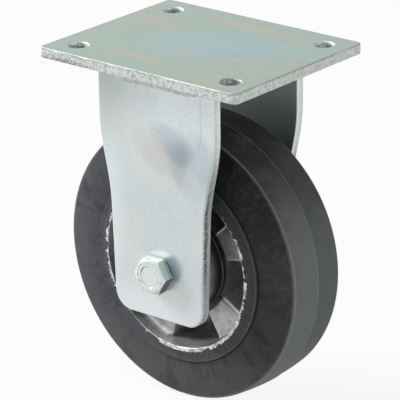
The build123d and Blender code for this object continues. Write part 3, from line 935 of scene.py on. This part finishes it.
# Tyre: satin black moulded rubber, greyer on the tread, with an uneven film of dust. Painted shade
# darkens the top and the side's upper right, with the plate's painted shadow; painted light
# brightens the bottom and a patch on the side's right; painted highlights and shade mark its lines
# and grooves
tyreLook = {
    "side": tone(81, 82, 86),
    # sideCleanAndShade: clean rubber in the smears, and the tone of the painted shade on the side
    "sideCleanAndShade": tone(45, 45, 47),
    "tread": tone(103, 107, 106),
    "rear": tone(90, 93, 94),
    # the tone of the painted light at the bottom of the tread
    "foot": tone(112, 114, 111),
    "treadTopShade": tone(56, 57, 54),
    "black": tone(26, 26, 26),
    "dust": tone(112, 115, 112),
    "scuff": tone(34, 35, 36),
    # the tone of the painted highlights on the tyre's lines
    "line": tone(150, 152, 148),
    # the tone of the painted shade in the grooves
    "groove": tone(22, 22, 24),
    "wide": {"size": 30, "shift": 8},
    "medium": {"size": 6, "detail": 4, "rough": 0.6},
    "fine": {"size": 0.5, "rough": 0.6},
    "flow": {"size": 1.3, "detail": 2, "stretch": (1, 12, 2), "turning": True},
    "smear": {"size": 8, "detail": 4, "rough": 0.65, "stretch": (3, 1, 1), "shift": 5,
              "turning": True},
    "rays": {"size": 1.6, "rough": 0.65, "stretch": (6, 1, 1), "shift": 12, "turning": True},
    "waves": {"size": 1.1, "detail": 2, "rough": 0.6, "stretch": (3, 1, 1), "shift": 9,
              "turning": True},
    "scratch": {"size": 2.2, "rough": 0.6, "stretch": (8, 1, 1), "shift": 3, "turning": True},
    "treadRun": (76.5, 78),
    "shadeSway": 50,
    "rearRun": (-0.1, 0.3),
    "treadTopShadeRun": (-108, -48),
    "footRun": (-150, -186),
    "treadPlateShadowRun": (-62, -46, 0.4),
    "sideLean": 0.7,
    "sideShadeRun": (-172, -18),
    "sideLowLightRun": (-150, -190, 0.3),
    "rightPaintedRun": (34, 60, 0.4),
    "rightReflectionLine": (-112, 40),
    "sidePlateShadowRun": (-70, -50, 0.6),
    "smearRun": (0.5, 0.64, 0.4),
    "dustyRun": (0.48, 0.75, 0.16),
    "fineRun": (0.6, 0.74, 0.25),
    "ringTopRuns": ((55.8, 55.2), (-40, 20, 0.2)),
    "rayRun": (0.5, 0.68, 0.14),
    "scuffs": (((66, -4), (5, 7), 0, 0.8), ((49.5, -11), (4.5, 6), 0, 0.8)),
    "waveLine": (0.5, 0.03),
    "scratchLine": (0.5, 0.012, 0.6),
    "scratchRun": (0.5, 0.62),
    "shoulderLine": (18.9, 0.8, 0.4),
    "seamLine": (-0.25, 0.4, 0.4),
    "ringHighlightLine": (55.6, 0.4, 0.4),
    "ringLineRuns": ((23, 23.8), (-30, 30)),
    "grooveShadeLine": (56.5, 0.8, 0.8),
    "seamShadowLine": (0.5, 0.45, 0.4),
    "rough": 0.5,
    "roughSway": 0.25,
    "treadRough": 0.08,
    "flowRun": (0.4, 0.6, 0.08),
    "bumps": {"fine": 0.02, "medium": 0.05, "flow": 0.05},
    "shine": 0.06,
}


def tyreFinish(look):
    f = Finish("blackRubber")
    f.roundAxle()
    wide, medium, fine, flow, smear, rays, waves, scratch = f.clouds(
        look, "wide", "medium", "fine", "flow", "smear", "rays", "waves", "scratch")
    onTread = f.radius.between(*look["treadRun"])
    onSide = 1 - onTread
    sway = wide.sway(look["shadeSway"])
    bands = f.layers(
        look["tread"],
        (f.y.between(*look["rearRun"]), look["rear"]),
        # painted shade: the tread darker towards the top
        ((f.z + sway).between(*look["treadTopShadeRun"]), look["treadTopShade"]),
        # painted light: the tread lighter at the bottom
        (f.z.between(*look["footRun"]), look["foot"]),
        # painted shadow of the plate on the top of the tread
        (f.z.between(*look["treadPlateShadowRun"]), look["black"]),
    )
    leaning = f.x * look["sideLean"] + f.z + sway
    side = f.layers(
        look["side"],
        # painted shade: the side darker towards the upper right
        (leaning.between(*look["sideShadeRun"]), look["sideCleanAndShade"]),
        # painted light: the side lighter at the bottom
        (f.z.between(*look["sideLowLightRun"]), look["tread"]),
        # painted reflection: a lighter patch on the right of the side
        (f.x.between(*look["rightPaintedRun"]) * f.z.near(*look["rightReflectionLine"]), look["side"]),
        # painted shadow of the plate on the top of the side
        (f.z.between(*look["sidePlateShadowRun"]), look["black"]),
    )
    colour = f.blend(onTread, side, bands)
    colour = f.blend(smear.between(*look["smearRun"]) * onSide, colour, look["sideCleanAndShade"])

    ringTop, ringAcross = look["ringTopRuns"]
    dusty = medium.between(*look["dustyRun"]) + fine.between(*look["fineRun"])
    dusty = dusty + f.radius.between(*ringTop) * onSide * f.x.between(*ringAcross)
    dusty = dusty + rays.between(*look["rayRun"]) * onSide
    colour = f.blend(dusty, colour, look["dust"])
    waved = waves.near(*look["waveLine"])
    for scuff in look["scuffs"]:
        scuffed = f.patch(f.angle * math.degrees(1), f.y, *scuff) * onTread
        colour = f.blend(scuffed * waved, colour, look["dust"])

    scratched = scratch.near(*look["scratchLine"]) * wide.between(*look["scratchRun"]) * onTread
    lineDepth, lineAcross = look["ringLineRuns"]
    # painted highlights on the tread's shoulders, its seam and the ring's edge
    edgeHighlight = (abs(f.y).near(*look["shoulderLine"]) + f.y.near(*look["seamLine"])) * onTread
    ringHighlightLine = f.radius.near(*look["ringHighlightLine"]) * abs(f.y).between(*lineDepth)
    ringHighlightLine = ringHighlightLine * f.x.between(*lineAcross)
    # painted shade in the groove beside the ring, and a painted shadow beside the tread's seam
    groove = f.radius.near(*look["grooveShadeLine"]) * onSide
    groove = groove + f.y.near(*look["seamShadowLine"]) * onTread
    colour = f.layers(
        colour,
        (scratched, look["scuff"]),
        (edgeHighlight + ringHighlightLine, look["line"]),
        (groove, look["groove"]),
    )
    rough = look["rough"] + medium.sway(look["roughSway"]) + onTread * look["treadRough"]
    rough = rough - onSide * flow.between(*look["flowRun"])
    bumps = look["bumps"]
    height = fine * bumps["fine"] + medium * bumps["medium"] + onSide * flow * bumps["flow"]
    return f.surface(colour, rough, 0.0, height, **{"Specular IOR Level": look["shine"]})


blackRubber = tyreFinish(tyreLook)
dress(blackRubber, "tyre")


# Rubber film: the thin torn flash that laps over the rim's bright lip. Each tear runs between two
# angles in degrees and bares a width of the lip; elsewhere a narrow line of metal shows.
filmShape = {
    "outer": 51.6,
    "lip": 50.4,
    "opening": 47.8,
    "face": 24.92,
    "thickness": 0.14,
    "sunk": 0.4,
    "bevel": 0.12,
    "rolledIn": (0.5, 0.05),
    "steps": 1440,
    "narrow": 0.4,
    "least": 0.02,
    "ragged": 1.0,
    "slope": 3.0,
    "sidePitch": 3.0,
    "slowPitch": 6,
    "tornPitches": ((21, 1.0), (55, 0.8), (110, 0.5)),  # a pitch and a share each
    "tornEnds": 0.6,
    "sharp": 50,
    "tears": {
        -1: ((-171, -150, 1.6), (-118, -113, 1.7), (-107, -66, 2.5), (-72, -58, 1.3),
             (-63, -19, 2.3), (-22, -9, 1.4), (-11, 4, 2.3), (2, 17, 1.4), (15, 33, 2.2),
             (32, 64, 1.2), (70, 96, 2.0), (120, 140, 1.6), (153, 165, 1.2), (164, 178, 1.8),
             (180, 189, 1.5)),
        1: ((-168, -120, 2.3), (-100, -84, 1.7), (-70, -31, 2.4), (-12, 14, 2.1), (33, 41, 1.5),
            (58, 103, 2.4), (118, 126, 1.3), (140, 166, 2.2)),
    },
}


def baredWidth(angle, side, shape):
    spot = Vector((math.cos(angle), math.sin(angle), shape["sidePitch"] * side))
    slow = noise.noise(spot * shape["slowPitch"])
    torn = sum(share * noise.noise(spot * pitch) for pitch, share in shape["tornPitches"])
    bared = shape["narrow"] * (1 + slow)
    for start, end, width in shape["tears"][side]:
        middle, reach = math.radians(start + end) / 2, math.radians(end - start) / 2
        away = abs((angle - middle + math.pi) % (2 * math.pi) - math.pi)
        share = (reach - away) / math.radians(shape["slope"]) + torn * shape["tornEnds"]
        share = min(1.0, max(0.0, share))
        bared = max(bared, share * (width + shape["ragged"] * torn))
    most = shape["lip"] - shape["opening"] - shape["least"]
    return max(shape["least"], min(bared, most))


def rubberFilm(name, side, shape, material):
    corners = []
    outer, bevel = shape["outer"], shape["bevel"]
    face = side * shape["face"]
    top = side * (shape["face"] + shape["thickness"])
    rollIn, rollDown = shape["rolledIn"]
    for step in range(shape["steps"]):
        angle = 2 * math.pi * step / shape["steps"]
        across, up = math.cos(angle), math.sin(angle)
        inner = shape["opening"] + baredWidth(angle, side, shape)
        for radius, y in ((outer, face - side * shape["sunk"]), (inner, face),
                          (inner + bevel, top), (outer - rollIn, top - side * rollDown)):
            corners.append((radius * across, y, axleHeight + radius * up))
    mesh = solidMesh(name, corners, loopFaces(shape["steps"], 4, True))
    addPiece(name, mesh, material, "wheel", "rubber_tyre", shape["sharp"])


rubberFilm("front_rubber_film", -1, filmShape, blackRubber)
rubberFilm("back_rubber_film", 1, filmShape, blackRubber)
print("rim and tyre made")


# Floor: pale and matt; the camera sees it nearly white, with the shadow kept. Sizes here and in
# the rest of the script are in metres.
white = (1.0, 1.0, 1.0, 1.0)
floorLook = {"size": 8.0, "height": -0.2003, "pale": tone(216, 216, 216), "glow": 0.9}


def floorFinish(look):
    f = Finish("floorPaper")
    matt = f.node("ShaderNodeBsdfDiffuse", None, {"Color": look["pale"]})
    lit = f.node("ShaderNodeEmission", None, {"Color": white, "Strength": 1.0})
    f.output(f.node("ShaderNodeMixShader", None, {0: f.seen() * look["glow"], 1: matt, 2: lit}))
    return f.owner


def makeFloor(look):
    half = look["size"] / 2
    mesh = bpy.data.meshes.new("floor")
    mesh.from_pydata([(-half, -half, 0), (half, -half, 0), (half, half, 0), (-half, half, 0)],
                     [], [(0, 1, 2, 3)])
    mesh.materials.append(floorFinish(look))
    floor = link("floor", mesh)
    floor.location.z = look["height"]


makeFloor(floorLook)


# Sky: an even pale light, white where the camera or a reflection sees it
skyLook = {"light": 0.12, "seen": 1.0}


def skyFinish(look):
    world = bpy.data.worlds.new("paleSky")
    bpy.context.scene.world = world
    f = Finish("paleSky", world)
    dim, lit = (f.node("ShaderNodeBackground", None, {"Color": white, "Strength": look[part]})
                for part in ("light", "seen"))
    mixed = f.node("ShaderNodeMixShader", None, {0: f.seen(), 1: dim, 2: lit})
    f.output(mixed, "ShaderNodeOutputWorld")


skyFinish(skyLook)


# Lamps: two soft boxes, aimed at the middle of the castor
target = Vector((0, 0, -0.1))
lamps = {
    "keyBox": {"place": (-1.9, -0.56, 1.15), "size": 1.1, "power": 92.0},
    "sideBox": {"place": (2.0, 0.12, 0.55), "size": 1.2, "power": 21.0},
}
for name, lamp in lamps.items():
    light = bpy.data.lights.new(name, "AREA")
    light.shape = "SQUARE"
    light.size = lamp["size"]
    light.energy = lamp["power"]
    box = link(name, light)
    box.location = lamp["place"]
    aim = target - Vector(lamp["place"])
    box.rotation_euler = aim.to_track_quat("-Z", "Y").to_euler()


# Camera: the photograph's angle, from the front right and a little above, in degrees. The lens
# comes from the focal length and the width in pixels, and the sensor's width in mm.
shot = {
    "turn": 39.396,
    "rise": 20.716,
    "roll": 0.742,
    "distance": 1.6,
    "aside": -0.001426,
    "above": 0.009923,
    "focalPixels": 2912.6,
    "widthPixels": 400,
    "sensor": 36,
    "clip": (0.05, 50),
}


def placeCamera(shot):
    turn, rise, roll = (math.radians(shot[part]) for part in ("turn", "rise", "roll"))
    back = Vector((math.sin(turn) * math.cos(rise), -math.cos(turn) * math.cos(rise),
                   math.sin(rise)))
    right = Vector((math.cos(turn), math.sin(turn), 0))
    above = back.cross(right)
    place = target + back * shot["distance"] + right * shot["aside"] + above * shot["above"]
    leanRight = right * math.cos(roll) - above * math.sin(roll)
    leanUp = right * math.sin(roll) + above * math.cos(roll)
    data = bpy.data.cameras.new("photoCamera")
    data.sensor_width = shot["sensor"]
    data.lens = shot["focalPixels"] / shot["widthPixels"] * shot["sensor"]
    data.clip_start, data.clip_end = shot["clip"]
    camera = link("photoCamera", data)
    turned = Matrix((leanRight, leanUp, back)).transposed().to_4x4()
    camera.matrix_world = Matrix.Translation(place) @ turned
    bpy.context.scene.camera = camera


placeCamera(shot)
bpy.context.scene.view_settings.view_transform = "Standard"
print("floor, lamps and camera placed")
